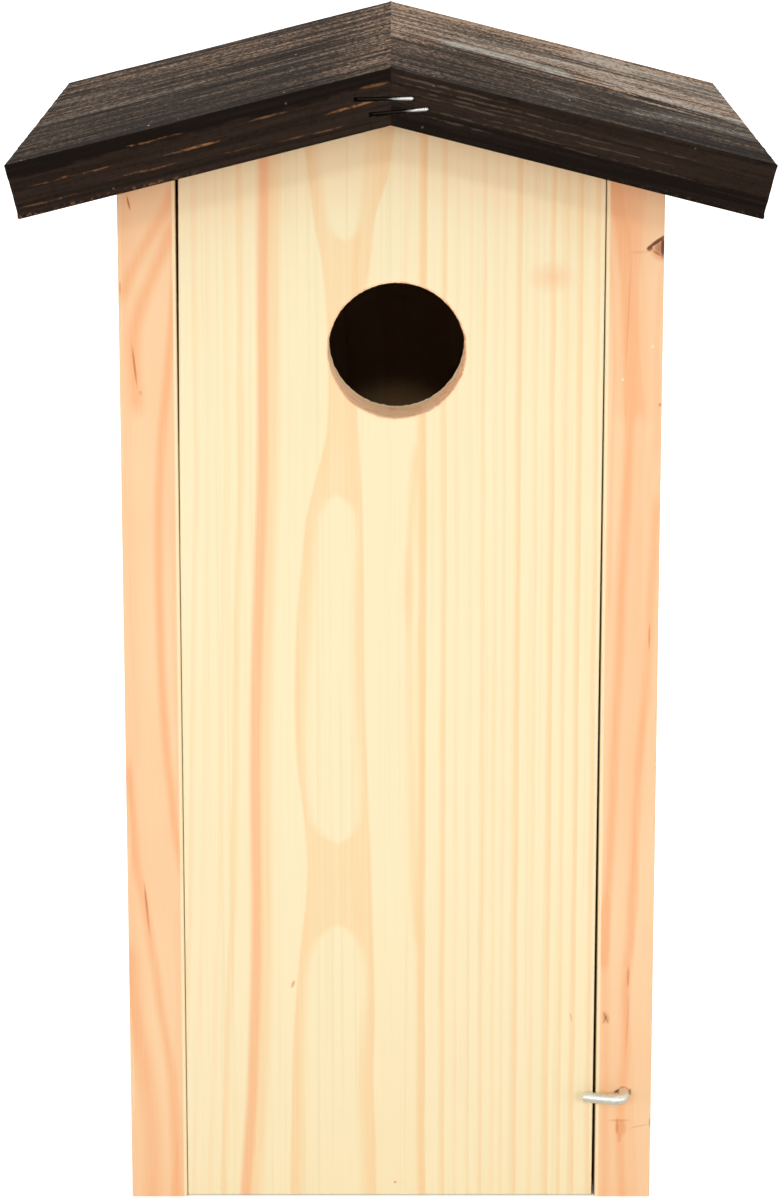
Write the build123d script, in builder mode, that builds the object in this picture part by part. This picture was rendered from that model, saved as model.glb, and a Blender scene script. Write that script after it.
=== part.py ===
from build123d import *
import math
import os

os.makedirs("parts", exist_ok=True)

# A wooden nest box for birds, in millimetres. X points right, Y from the door to the back, Z up.
# The origin is on the ground under the middle of the whole box.

# Boards of the box
wall_thickness = 19.0
door_thickness = 19.0
floor_thickness = 19.0
chamber_width = 140.0
chamber_depth = 140.0
floor_recess = 5.0
board_arris = 0.6

# Roof
apex_height = 376.4
roof_slope = 14.25
roof_length = 125.0
roof_thickness = 18.0
roof_overhang = 40.0
roof_arris = 0.8

# Entrance hole, measured from the apex under the roof
hole_diameter = 45.0
hole_drop = 79.3
hole_offset = 1.9
hole_arris = 0.4

# Door, which hangs between the side boards with gaps that widen upwards on the left and downwards
# on the right, and turns about two nails below its top
door_gap_top = 2.5
door_gap_bottom = 0.5
door_gap_back = 0.4
door_gap_left_top = 1.0
door_gap_left_bottom = 0.35
door_gap_right_top = 0.4
door_gap_right_bottom = 1.4
pivot_drop = 66.4
pivot_clearance = 0.08

# Pivot nails, through the side boards into the door
pivot_nail_diameter = 3.0
pivot_nail_length = 50.0
pivot_nail_head_diameter = 6.0
pivot_nail_head_thickness = 1.3

# Nails of the box and brads of the roof; the heads of all nails are set just below the surface
nail_diameter = 2.2
nail_length = 45.0
nail_head_diameter = 5.0
nail_head_thickness = 1.1
brad_diameter = 1.6
brad_length = 45.0
brad_head_diameter = 2.4
brad_head_thickness = 1.2
head_sink = 0.2
fastener_clearance = 0.05
point_share = 1.5
head_edge_share = 0.25

# Latch, a bent wire whose shank turns in the front edge of the right side board
latch_wire = 3.6
latch_height = 38.5
latch_shank = 24.0
latch_reach = 7.9
latch_tip_reach = 4.3
latch_arm = 13.9
latch_bend = 3.4
latch_clearance = 0.08
latch_end_share = 0.2

# Staples across the ridge joint
staple_wire = 1.3
staple_crown = 17.6
staple_leg = 20.0
staple_bend = 0.85
staple_depth = 1.4
staple_tilt = 4.5
upper_staple_rise = 8.3
upper_staple_offset = -2.0
upper_staple_turn = 1.0
lower_staple_rise = 4.3
lower_staple_offset = 2.7
lower_staple_turn = 5.5

# Holes for the hanging screws in the back board, and drain holes in the floor
hanging_hole_diameter = 5.0
hanging_hole_height = 60.0
hanging_hole_spacing = 240.0
drain_hole_diameter = 8.0
drain_spacing_x = 40.0
drain_spacing_y = 70.0

# Where the fasteners stand, as shares of the board that they follow
side_floor_nail_shares = (0.2, 0.8)
side_back_nail_shares = (0.15, 0.5, 0.84)
back_floor_nail_share = 0.2
side_brad_shares = (0.1, 0.5, 0.9)
back_brad_share = 0.5

# How far a cut runs past the board
overrun = 2.0

# Places worked out from the sizes above
slope = math.radians(roof_slope)
box_width = chamber_width + 2 * wall_thickness
box_depth = door_thickness + chamber_depth + wall_thickness
roof_depth = box_depth + roof_overhang
roof_front = -roof_depth / 2
roof_back = roof_depth / 2
front_face = roof_front + roof_overhang
back_face = roof_back
chamber_front = front_face + door_thickness
chamber_back = back_face - wall_thickness
ridge_height = apex_height + roof_thickness / math.cos(slope)
eave_x = roof_length * math.cos(slope)
eave_top = ridge_height - roof_length * math.sin(slope)
floor_middle = floor_recess + floor_thickness / 2
back_middle = back_face - wall_thickness / 2
side_middle = (chamber_width + wall_thickness) / 2
hole_height = apex_height - hole_drop
pivot_height = apex_height - pivot_drop
pivot_y = front_face + door_thickness / 2
front_plane = Plane.XZ.offset(-front_face)


def roof_underside(x):
    """Height of the roof's underside at a distance x from the ridge."""
    return apex_height - abs(x) * math.tan(slope)


def finish(board, name):
    """Names a finished piece and writes it."""
    board.part.label = name
    export_step(board.part, "parts/" + name + ".step")


# Nails, each made once with its axis along Z and the board's surface at zero
def nail(diameter, length, head_diameter, head_thickness, head_top):
    edge = head_thickness * head_edge_share
    shank = diameter / 2
    head = head_diameter / 2
    tip = head_top - length
    with BuildPart() as made:
        with BuildSketch(Plane.XZ):
            with BuildLine():
                Polyline(
                    (0, head_top),
                    (head - edge, head_top),
                    (head, head_top - edge),
                    (head, head_top - head_thickness),
                    (shank, head_top - head_thickness),
                    (shank, tip + diameter * point_share),
                    (0, tip),
                    close=True,
                )
            make_face()
        revolve(axis=Axis.Z)
    return made.part


box_nail = nail(nail_diameter, nail_length, nail_head_diameter, nail_head_thickness, -head_sink)
roof_brad = nail(brad_diameter, brad_length, brad_head_diameter, brad_head_thickness, -head_sink)
pivot_nail = nail(
    pivot_nail_diameter,
    pivot_nail_length,
    pivot_nail_head_diameter,
    pivot_nail_head_thickness,
    -head_sink,
)


# Where each nail is driven in: planes on the outer faces, facing outwards
def side_plane(side, y, z):
    return Plane(origin=(side * box_width / 2, y, z), x_dir=(0, 1, 0), z_dir=(side, 0, 0))


def back_plane(x, z):
    return Plane(origin=(x, back_face, z), x_dir=(1, 0, 0), z_dir=(0, 1, 0))


def roof_plane(side, x, y, depth):
    """On the roof's upper face, so that a brad square to it is at x when it is depth below it."""
    down = (abs(x) + depth * math.sin(slope)) / math.cos(slope)
    top = (side * down * math.cos(slope), y, ridge_height - down * math.sin(slope))
    return Plane(origin=top, x_dir=(0, 1, 0), z_dir=(side * math.sin(slope), 0, math.cos(slope)))


def floor_nail_planes(side):
    return [
        side_plane(side, chamber_front + chamber_depth * share, floor_middle)
        for share in side_floor_nail_shares
    ]


def back_nail_planes(side):
    return [
        side_plane(side, back_middle, roof_underside(box_width / 2) * share)
        for share in side_back_nail_shares
    ]


def pivot_plane(side):
    return side_plane(side, pivot_y, pivot_height)


def roof_brad_planes(side):
    depth = (roof_thickness + brad_length) / 2
    places = [
        roof_plane(side, side_middle, front_face + box_depth * share, depth)
        for share in side_brad_shares
    ]
    places.append(roof_plane(side, chamber_width / 2 * back_brad_share, back_middle, depth))
    return places


back_floor_nail_planes = [
    back_plane(side * chamber_width * back_floor_nail_share, floor_middle) for side in (-1, 1)
]


def nail_holes(places, diameter, length, head_diameter, head_thickness):
    """Cuts a nail's hole and its head's seat out of whichever board is being made."""
    with Locations(*places):
        CounterBoreHole(
            radius=diameter / 2 + fastener_clearance,
            counter_bore_radius=head_diameter / 2 + fastener_clearance,
            counter_bore_depth=head_thickness + head_sink,
            depth=length + head_sink + fastener_clearance,
        )


def box_nail_holes(places):
    nail_holes(places, nail_diameter, nail_length, nail_head_diameter, nail_head_thickness)


def pivot_nail_holes(places):
    nail_holes(
        places,
        pivot_nail_diameter,
        pivot_nail_length,
        pivot_nail_head_diameter,
        pivot_nail_head_thickness,
    )


def roof_brad_holes(places):
    nail_holes(places, brad_diameter, brad_length, brad_head_diameter, brad_head_thickness)


# Staples: the crown lies along the plane's x, the legs run into the wood
def staple_plane(end, offset, rise, turn):
    """On the roof's front end (-1) or back end (1), with the crown's left end driven deeper."""
    face = Plane(
        origin=(-end * offset, end * (roof_back - staple_depth), apex_height + rise),
        x_dir=(-end, 0, 0),
        z_dir=(0, end, 0),
    )
    return face.rotated((0, end * turn, -staple_tilt))


def upper_staple_plane(end):
    return staple_plane(end, upper_staple_offset, upper_staple_rise, upper_staple_turn)


def lower_staple_plane(end):
    return staple_plane(end, lower_staple_offset, lower_staple_rise, lower_staple_turn)


def staple_seat(place):
    """Cuts the groove of a staple's crown and the holes of its legs."""
    seat = staple_wire / 2 + fastener_clearance
    with BuildSketch(place.offset(-seat)) as groove:
        SlotCenterToCenter(staple_crown, 2 * seat)
    extrude(groove.sketch, amount=seat + staple_depth + overrun, mode=Mode.SUBTRACT)
    with Locations(place):
        with Locations((-staple_crown / 2, 0), (staple_crown / 2, 0)):
            Hole(radius=seat, depth=staple_leg + fastener_clearance)


with BuildPart() as staple:
    with BuildLine():
        staple_path = FilletPolyline(
            (-staple_crown / 2, 0, -staple_leg),
            (-staple_crown / 2, 0, 0),
            (staple_crown / 2, 0, 0),
            (staple_crown / 2, 0, -staple_leg),
            radius=staple_bend,
        )
    with BuildSketch(Plane(origin=staple_path @ 0, z_dir=staple_path % 0)):
        Circle(staple_wire / 2)
    sweep()


# Side boards, cut to the slope of the roof on top
def side_profile(side):
    inner = side * chamber_width / 2
    outer = side * box_width / 2
    with BuildSketch(front_plane) as profile:
        with BuildLine():
            Polyline(
                (inner, 0),
                (outer, 0),
                (outer, roof_underside(outer)),
                (inner, roof_underside(inner)),
                close=True,
            )
        make_face()
    return profile.sketch


def side_holes(side):
    box_nail_holes(floor_nail_planes(side) + back_nail_planes(side))
    roof_brad_holes(roof_brad_planes(side))
    pivot_nail_holes([pivot_plane(side)])


with BuildPart() as left_side:
    extrude(side_profile(-1), amount=-box_depth)
    fillet(left_side.edges().filter_by(Axis.Z), board_arris)
    side_holes(-1)
finish(left_side, "left_side")

latch_plane = Plane(origin=(side_middle, front_face, latch_height), x_dir=(1, 0, 0), z_dir=(0, -1, 0))

with BuildPart() as right_side:
    extrude(side_profile(1), amount=-box_depth)
    fillet(right_side.edges().filter_by(Axis.Z), board_arris)
    side_holes(1)
    with Locations(latch_plane):
        Hole(latch_wire / 2 + latch_clearance, depth=latch_shank + fastener_clearance)
finish(right_side, "right_side")

# Back board, between the side boards and up to the roof
with BuildPart() as back_board:
    with BuildSketch(Plane.XZ.offset(-chamber_back)):
        with BuildLine():
            Polyline(
                (-chamber_width / 2, 0),
                (chamber_width / 2, 0),
                (chamber_width / 2, roof_underside(chamber_width / 2)),
                (0, apex_height),
                (-chamber_width / 2, roof_underside(chamber_width / 2)),
                close=True,
            )
        make_face()
    extrude(amount=-wall_thickness)
    for side in (-1, 1):
        box_nail_holes(back_nail_planes(side))
        roof_brad_holes(roof_brad_planes(side))
    box_nail_holes(back_floor_nail_planes)
    with Locations(
        back_plane(0, hanging_hole_height),
        back_plane(0, hanging_hole_height + hanging_hole_spacing),
    ):
        Hole(hanging_hole_diameter / 2)
finish(back_board, "back_board")

# Floor board, between the side boards, with drain holes
floor_depth = chamber_depth - door_gap_back
floor_y = chamber_back - floor_depth / 2
floor_plane = Plane((0, floor_y, floor_recess))

with BuildPart() as floor_board:
    with BuildSketch(floor_plane):
        Rectangle(chamber_width, floor_depth)
        with GridLocations(drain_spacing_x, drain_spacing_y, 2, 2):
            Circle(drain_hole_diameter / 2, mode=Mode.SUBTRACT)
    extrude(amount=floor_thickness)
    for side in (-1, 1):
        box_nail_holes(floor_nail_planes(side))
    box_nail_holes(back_floor_nail_planes)
finish(floor_board, "floor_board")

# Door, with the entrance hole and the bores that it turns on
left_top = -chamber_width / 2 + door_gap_left_top
left_bottom = -chamber_width / 2 + door_gap_left_bottom
right_top = chamber_width / 2 - door_gap_right_top
right_bottom = chamber_width / 2 - door_gap_right_bottom

with BuildPart() as door:
    with BuildSketch(front_plane):
        with BuildLine():
            Polyline(
                (left_bottom, door_gap_bottom),
                (right_bottom, door_gap_bottom),
                (right_top, roof_underside(right_top) - door_gap_top),
                (0, apex_height - door_gap_top),
                (left_top, roof_underside(left_top) - door_gap_top),
                close=True,
            )
        make_face()
    extrude(amount=-door_thickness)
    fillet(door.faces().sort_by(Axis.Y)[0].edges(), board_arris)
    with BuildSketch(front_plane.offset(overrun)):
        with Locations((hole_offset, hole_height)):
            Circle(hole_diameter / 2)
    extrude(amount=-door_thickness - 2 * overrun, mode=Mode.SUBTRACT)
    fillet(door.edges().filter_by(GeomType.CIRCLE), hole_arris)
    for side in (-1, 1):
        with Locations(pivot_plane(side)):
            Hole(
                pivot_nail_diameter / 2 + pivot_clearance,
                depth=pivot_nail_length + head_sink + pivot_clearance,
            )
finish(door, "door")


# Roof boards, mitred at the ridge and cut square at the eaves
def roof_profile(side):
    with BuildSketch(Plane.XZ.offset(-roof_front)) as profile:
        with BuildLine():
            Polyline(
                (0, apex_height),
                (0, ridge_height),
                (side * eave_x, eave_top),
                (
                    side * (eave_x - roof_thickness * math.sin(slope)),
                    eave_top - roof_thickness * math.cos(slope),
                ),
                close=True,
            )
        make_face()
    return profile.sketch


def free_edges(board):
    """All edges of a roof board but those at the ridge joint."""
    return board.edges().filter_by(lambda edge: abs(edge.center().X) > eave_x / 4)


def roof_cuts(side):
    roof_brad_holes(roof_brad_planes(side))
    for end in (-1, 1):
        staple_seat(upper_staple_plane(end))
        staple_seat(lower_staple_plane(end))


with BuildPart() as roof_left:
    extrude(roof_profile(-1), amount=-roof_depth)
    fillet(free_edges(roof_left), roof_arris)
    roof_cuts(-1)
finish(roof_left, "roof_left")

with BuildPart() as roof_right:
    extrude(roof_profile(1), amount=-roof_depth)
    fillet(free_edges(roof_right), roof_arris)
    roof_cuts(1)
finish(roof_right, "roof_right")

# Latch: straight out of the wood, then bent across the gap towards the door
with BuildPart() as latch_hook:
    with BuildLine():
        latch_path = FilletPolyline(
            (side_middle, front_face + latch_shank, latch_height),
            (side_middle, front_face - latch_reach, latch_height),
            (side_middle - latch_arm, front_face - latch_tip_reach, latch_height),
            radius=latch_bend,
        )
    with BuildSketch(Plane(origin=latch_path @ 0, z_dir=latch_path % 0)):
        Circle(latch_wire / 2)
    sweep()
    chamfer(
        latch_hook.faces().filter_by(GeomType.PLANE).edges(),
        latch_wire * latch_end_share,
    )
finish(latch_hook, "latch_hook")


# Fasteners
def fasteners(piece, places):
    with Locations(*places):
        add(piece)


for side, hand in ((-1, "left"), (1, "right")):
    with BuildPart() as side_pivot_nail:
        fasteners(pivot_nail, [pivot_plane(side)])
    finish(side_pivot_nail, hand + "_pivot_nail")

    with BuildPart() as side_floor_nails:
        fasteners(box_nail, floor_nail_planes(side))
    finish(side_floor_nails, hand + "_floor_nails")

    with BuildPart() as side_back_nails:
        fasteners(box_nail, back_nail_planes(side))
    finish(side_back_nails, hand + "_back_nails")

    with BuildPart() as side_roof_brads:
        fasteners(roof_brad, roof_brad_planes(side))
    finish(side_roof_brads, hand + "_roof_brads")

with BuildPart() as back_floor_nails:
    fasteners(box_nail, back_floor_nail_planes)
finish(back_floor_nails, "back_floor_nails")

for end, place in ((-1, "front"), (1, "rear")):
    with BuildPart() as upper_staple:
        fasteners(staple.part, [upper_staple_plane(end)])
    finish(upper_staple, place + "_ridge_staple_upper")

    with BuildPart() as lower_staple:
        fasteners(staple.part, [lower_staple_plane(end)])
    finish(lower_staple, place + "_ridge_staple_lower")
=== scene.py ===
import math

import bpy
from mathutils import Matrix, Vector


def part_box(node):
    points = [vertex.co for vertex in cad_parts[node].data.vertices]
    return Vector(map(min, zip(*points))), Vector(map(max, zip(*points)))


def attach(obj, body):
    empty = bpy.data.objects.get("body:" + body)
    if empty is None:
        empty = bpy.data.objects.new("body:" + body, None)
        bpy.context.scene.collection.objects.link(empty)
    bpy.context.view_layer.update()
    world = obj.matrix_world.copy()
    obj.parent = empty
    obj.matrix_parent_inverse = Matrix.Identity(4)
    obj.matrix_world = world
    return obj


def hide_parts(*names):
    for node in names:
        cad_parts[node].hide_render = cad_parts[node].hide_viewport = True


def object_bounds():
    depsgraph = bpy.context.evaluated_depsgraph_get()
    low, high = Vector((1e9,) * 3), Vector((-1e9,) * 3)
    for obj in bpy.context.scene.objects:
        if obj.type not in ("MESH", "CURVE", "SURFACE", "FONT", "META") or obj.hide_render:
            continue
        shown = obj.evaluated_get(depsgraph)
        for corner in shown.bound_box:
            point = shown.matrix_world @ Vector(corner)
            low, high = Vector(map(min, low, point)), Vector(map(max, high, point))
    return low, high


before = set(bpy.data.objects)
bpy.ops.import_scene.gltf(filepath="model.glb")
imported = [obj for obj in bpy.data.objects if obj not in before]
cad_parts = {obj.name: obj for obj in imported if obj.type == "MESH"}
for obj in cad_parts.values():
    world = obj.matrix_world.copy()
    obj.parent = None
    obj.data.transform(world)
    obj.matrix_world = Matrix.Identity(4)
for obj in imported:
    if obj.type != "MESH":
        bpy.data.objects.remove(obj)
cad_low, cad_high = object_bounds()

bl_info = {
    "name": "Bird Nest Box",
    "version": (1, 0, 0),
    "blender": (4, 5, 0),
    "location": "View3D > Sidebar > Nest Box",
    "description": "Builds the finished wood, metal and studio of a bird nest box round its frame",
    "category": "Object",
}

# Lengths are in metres
MM = 0.001
ROOF_SLOPE = math.radians(14.25)
ROOF_THICKNESS = 18 * MM
ROOF_LENGTH = 125 * MM
FRONT_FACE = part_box("right_side")[0].y
SIDE_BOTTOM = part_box("right_side")[0].z
DOOR_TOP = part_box("door")[1].z
DOOR_GAP_TOP = 2.5 * MM
HOLE_DROP = 76.8 * MM
HOLE_OFFSET = 1.9 * MM

# The same in millimetres, for the patterns in the materials
FRONT = FRONT_FACE / MM
BEHIND_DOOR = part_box("door")[1].y / MM
BESIDE_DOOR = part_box("right_side")[0].x / MM
BEFORE_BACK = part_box("back_board")[0].y / MM
RIDGE = cad_high.z / MM
ROOF_END = cad_high.y / MM
HOLE_CENTRE = (HOLE_OFFSET / MM, 0.0, (DOOR_TOP - HOLE_DROP) / MM)
HOLE_RADIUS = 22.5


def tint(red, green, blue):
    """A colour written as it looks on a screen, 0 to 255, in linear light."""
    shares = (red / 255, green / 255, blue / 255)
    return tuple(s / 12.92 if s < 0.04045 else ((s + 0.055) / 1.055) ** 2.4 for s in shares)


def colour(name, description, red, green, blue):
    return bpy.props.FloatVectorProperty(
        name=name,
        description=description,
        subtype="COLOR",
        size=3,
        min=0.0,
        max=1.0,
        default=tint(red, green, blue),
    )


def length(name, description, default):
    return bpy.props.FloatProperty(
        name=name,
        description=description,
        unit="LENGTH",
        precision=5,
        min=0.0,
        default=default,
    )


class NestBoxSizes(bpy.types.PropertyGroup):
    """Sizes of the pieces that are modelled here"""

    board_arris: length("Board arris", "Rounding along the edges of the door", 0.6 * MM)
    roof_arris: length("Roof arris", "Rounding along the edges of the roof boards", 0.6 * MM)
    roof_relief: length("Roof relief", "Depth of the brushed grain in the roof", 0.35 * MM)
    hole_diameter: length("Entrance hole", "Diameter of the entrance hole", 45 * MM)
    hole_arris: length("Hole arris", "Rounding of the entrance hole's edge", 0.4 * MM)
    saw_marks: length("Saw marks", "Depth of the saw marks in the entrance hole", 0.5 * MM)
    latch_wire: length("Latch wire", "Thickness of the latch's wire", 3.6 * MM)
    latch_bend: length("Latch bend", "Radius of the latch's bend", 3.4 * MM)
    staple_wire: length("Staple wire", "Thickness of the staples' wire", 1.3 * MM)
    staple_crown: length("Staple crown", "Distance between a staple's legs", 17.6 * MM)


class NestBoxColours(bpy.types.PropertyGroup):
    """Colours of the woods, the stain and the metals"""

    door_pale: colour("Door, pale", "Early wood of the door", 254, 237, 195)
    door_tan: colour("Door, tan", "Soft late wood of the door", 252, 214, 160)
    door_line: colour("Door, faint lines", "Thin greenish lines in the door", 244, 227, 180)
    door_orange: colour("Door, orange", "Resinous late wood of the door", 252, 196, 146)
    bore_pink: colour("Entrance hole", "Sawn wall of the entrance hole", 255, 219, 177)
    bore_streak: colour("Entrance hole, streaks", "Saw marks in the entrance hole", 236, 156, 100)
    side_pale: colour("Sides, pale", "Early wood of the side boards", 254, 214, 168)
    side_orange: colour("Sides, orange", "Late wood of the side boards", 251, 184, 132)
    inner_pale: colour("Inner boards, pale", "Early wood of the back and the floor", 250, 226, 180)
    inner_tan: colour("Inner boards, tan", "Late wood of the back and the floor", 240, 190, 135)
    wood_mark: colour("Wood marks", "Knots, cracks and specks in the pale boards", 120, 66, 36)
    wood_glow: colour("Wood marks, warm", "Soft knots and resin in the pale boards", 226, 138, 84)
    # Painted highlight: pale light on the arrises beside the door and on the back edge of the
    # entrance hole; also the real colour of a few pale specks in the right side board
    edge_highlight_and_specks: colour("Wood, arrises", "Pale arrises beside the door", 255, 240, 196)
    stain_black: colour("Stain, black", "Stain where it lies thick on the roof", 24, 18, 14)
    stain_brown: colour("Stain, brown", "Stain on the narrow sides of the roof boards", 50, 38, 31)
    stain_top: colour("Stain, top", "Stain on the brushed tops of the roof boards", 88, 74, 62)
    stain_warm: colour("Stain, grain", "Raised grain on the brushed tops", 186, 156, 131)
    # Painted highlight: the pale colour of the reflections painted on the roof tops, also used for
    # paler patches of stain
    highlight_and_pale_stain: colour("Stain, pale", "Stain on the tops where it shines", 192, 183, 170)
    stain_orange: colour("Stain, orange", "Bare wood that shows in the stained fronts", 140, 96, 60)
    zinc: colour("Zinc", "Plating of the latch", 226, 227, 218)
    steel: colour("Steel", "Nails, brads and staples", 188, 186, 180)


class NestBoxStudio(bpy.types.PropertyGroup):
    """Camera, floor and light"""

    camera_distance: length("Camera distance", "From the box's front face", 1089.1 * MM)
    camera_height: length("Camera height", "Above the floor", 514.1 * MM)
    camera_tilt: bpy.props.FloatProperty(
        name="Camera tilt",
        description="How far the camera looks down",
        subtype="ANGLE",
        default=math.radians(11.425),
    )
    lens: bpy.props.FloatProperty(
        name="Lens",
        description="Focal length in millimetres on a 36 mm frame",
        default=101.81,
    )
    floor_size: length("Floor size", "Width of the floor", 40.0)
    light_level: bpy.props.FloatProperty(
        name="Light level",
        description="Brightness of the lamps, 1 where colours render as written",
        default=1.0,
    )


# Selecting and shaping
MERGE_DISTANCE = 0.001 * MM
SEAM_DISTANCE = 0.002 * MM


def deselect():
    if bpy.context.mode != "OBJECT":
        bpy.ops.object.mode_set(mode="OBJECT")
    bpy.ops.object.select_all(action="DESELECT")


def activate(piece):
    deselect()
    piece.select_set(True)
    bpy.context.view_layer.objects.active = piece


def settle(piece, name):
    """Names a new piece and puts its place into its mesh."""
    activate(piece)
    bpy.ops.object.transform_apply(location=True, rotation=True, scale=True)
    piece.name = name
    piece.data.name = name
    return piece


def modify(piece, kind, **settings):
    """Adds a modifier and applies it."""
    activate(piece)
    modifier = piece.modifiers.new(kind.lower(), kind)
    for setting, value in settings.items():
        setattr(modifier, setting, value)
    bpy.ops.object.modifier_apply(modifier=modifier.name)


def edit(piece):
    """Opens a piece in edit mode with all its faces selected."""
    activate(piece)
    bpy.ops.object.mode_set(mode="EDIT")
    bpy.ops.mesh.select_mode(type="FACE")
    bpy.ops.mesh.select_all(action="SELECT")


def edit_edges(piece, choose):
    """Opens a piece in edit mode with the edges that choose(start, end) picks."""
    activate(piece)
    bpy.ops.object.mode_set(mode="EDIT")
    bpy.ops.mesh.select_mode(type="EDGE")
    bpy.ops.mesh.select_all(action="DESELECT")
    bpy.ops.object.mode_set(mode="OBJECT")
    points = piece.data.vertices
    for line in piece.data.edges:
        line.select = choose(points[line.vertices[0]].co, points[line.vertices[1]].co)
    bpy.ops.object.mode_set(mode="EDIT")


def close_edit():
    bpy.ops.object.mode_set(mode="OBJECT")


def face_outwards(piece):
    edit(piece)
    bpy.ops.mesh.remove_doubles(threshold=MERGE_DISTANCE)
    bpy.ops.mesh.select_all(action="SELECT")
    bpy.ops.mesh.normals_make_consistent(inside=False)
    close_edit()


def smooth(piece, angle=35):
    activate(piece)
    bpy.ops.object.shade_smooth_by_angle(angle=math.radians(angle))


def add_block(name, low, high):
    """A block between two corners."""
    deselect()
    bpy.ops.mesh.primitive_cube_add(size=1.0, location=(low + high) / 2, scale=high - low)
    return settle(bpy.context.object, name)


def cut_off(piece, point, normal):
    """Saws off what lies beyond a plane and closes the cut."""
    edit(piece)
    bpy.ops.mesh.bisect(plane_co=point, plane_no=normal, use_fill=True, clear_outer=True)
    close_edit()


def carve(piece, cutter):
    """Takes a cutter's shape out of a piece and removes the cutter."""
    modify(piece, "BOOLEAN", operation="DIFFERENCE", solver="EXACT", object=cutter)
    bpy.data.objects.remove(cutter)
    edit(piece)
    bpy.ops.mesh.remove_doubles(threshold=SEAM_DISTANCE)
    bpy.ops.mesh.dissolve_degenerate(threshold=SEAM_DISTANCE)
    close_edit()


def roughen(piece, depth, grain, stretch, middle, detail=2, group=""):
    """Presses a cloudy relief into a piece: stretch scales it, and middle 1 keeps it inwards."""
    texture = bpy.data.textures.new("relief", "CLOUDS")
    texture.noise_scale = 1.0
    texture.noise_depth = detail
    guide = bpy.data.objects.new("guide", None)
    bpy.context.scene.collection.objects.link(guide)
    guide.matrix_world = grain @ Matrix.Diagonal((*stretch, 1.0))
    bpy.context.view_layer.update()
    modify(
        piece,
        "DISPLACE",
        texture=texture,
        texture_coords="OBJECT",
        texture_coords_object=guide,
        strength=depth,
        mid_level=middle,
        vertex_group=group,
    )
    bpy.data.objects.remove(guide)
    bpy.data.textures.remove(texture)


WIRE_TURN_STEPS = 14


def bend_wire(name, diameter, start, heading, route, sides=32):
    """A wire pushed out of a disc: route holds run lengths and turns (angle, axis, radius)."""
    deselect()
    place = Vector(start)
    heading = Vector(heading).normalized()
    bpy.ops.mesh.primitive_circle_add(
        vertices=sides,
        radius=diameter / 2,
        fill_type="NGON",
        location=place,
        rotation=heading.to_track_quat("Z", "Y").to_euler(),
    )
    wire = bpy.context.object
    bpy.ops.object.mode_set(mode="EDIT")
    bpy.ops.mesh.select_mode(type="FACE")
    for step in route:
        if isinstance(step, tuple):
            angle, axis, radius = step
            axis = Vector(axis).normalized()
            centre = place + axis.cross(heading) * radius
            turn = Matrix.Rotation(angle, 3, axis)
            bpy.ops.mesh.spin(steps=WIRE_TURN_STEPS, angle=-angle, center=centre, axis=axis)
            place = centre + turn @ (place - centre)
            heading = turn @ heading
        else:
            move = heading * step
            bpy.ops.mesh.extrude_region_move(TRANSFORM_OT_translate={"value": move})
            place = place + move
    close_edit()
    settle(wire, name)
    face_outwards(wire)
    return wire


def finish_piece(piece, body, slot, material, *nodes):
    """Hangs a piece on its body in place of its CAD nodes."""
    piece.data.materials.clear()
    piece.data.materials.append(material)
    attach(piece, body)
    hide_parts(*nodes)


def dress_node(name, material):
    """Gives a carried-over node its finish."""
    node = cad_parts[name]
    node.data.materials.clear()
    node.data.materials.append(material)


# Materials
class Value:
    """What a node gives, which can be added, multiplied and so on."""

    def __init__(self, finish, socket):
        self.finish = finish
        self.socket = socket

    def other(self, output):
        """Another output of the same node."""
        return Value(self.finish, self.socket.node.outputs[output])

    def __add__(self, term):
        return self.finish.math("ADD", self, term)

    def __sub__(self, term):
        return self.finish.math("SUBTRACT", self, term)

    def __mul__(self, factor):
        return self.finish.math("MULTIPLY", self, factor)

    def __truediv__(self, divisor):
        return self.finish.math("DIVIDE", self, divisor)

    def __abs__(self):
        return self.finish.math("ABSOLUTE", self)


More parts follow.
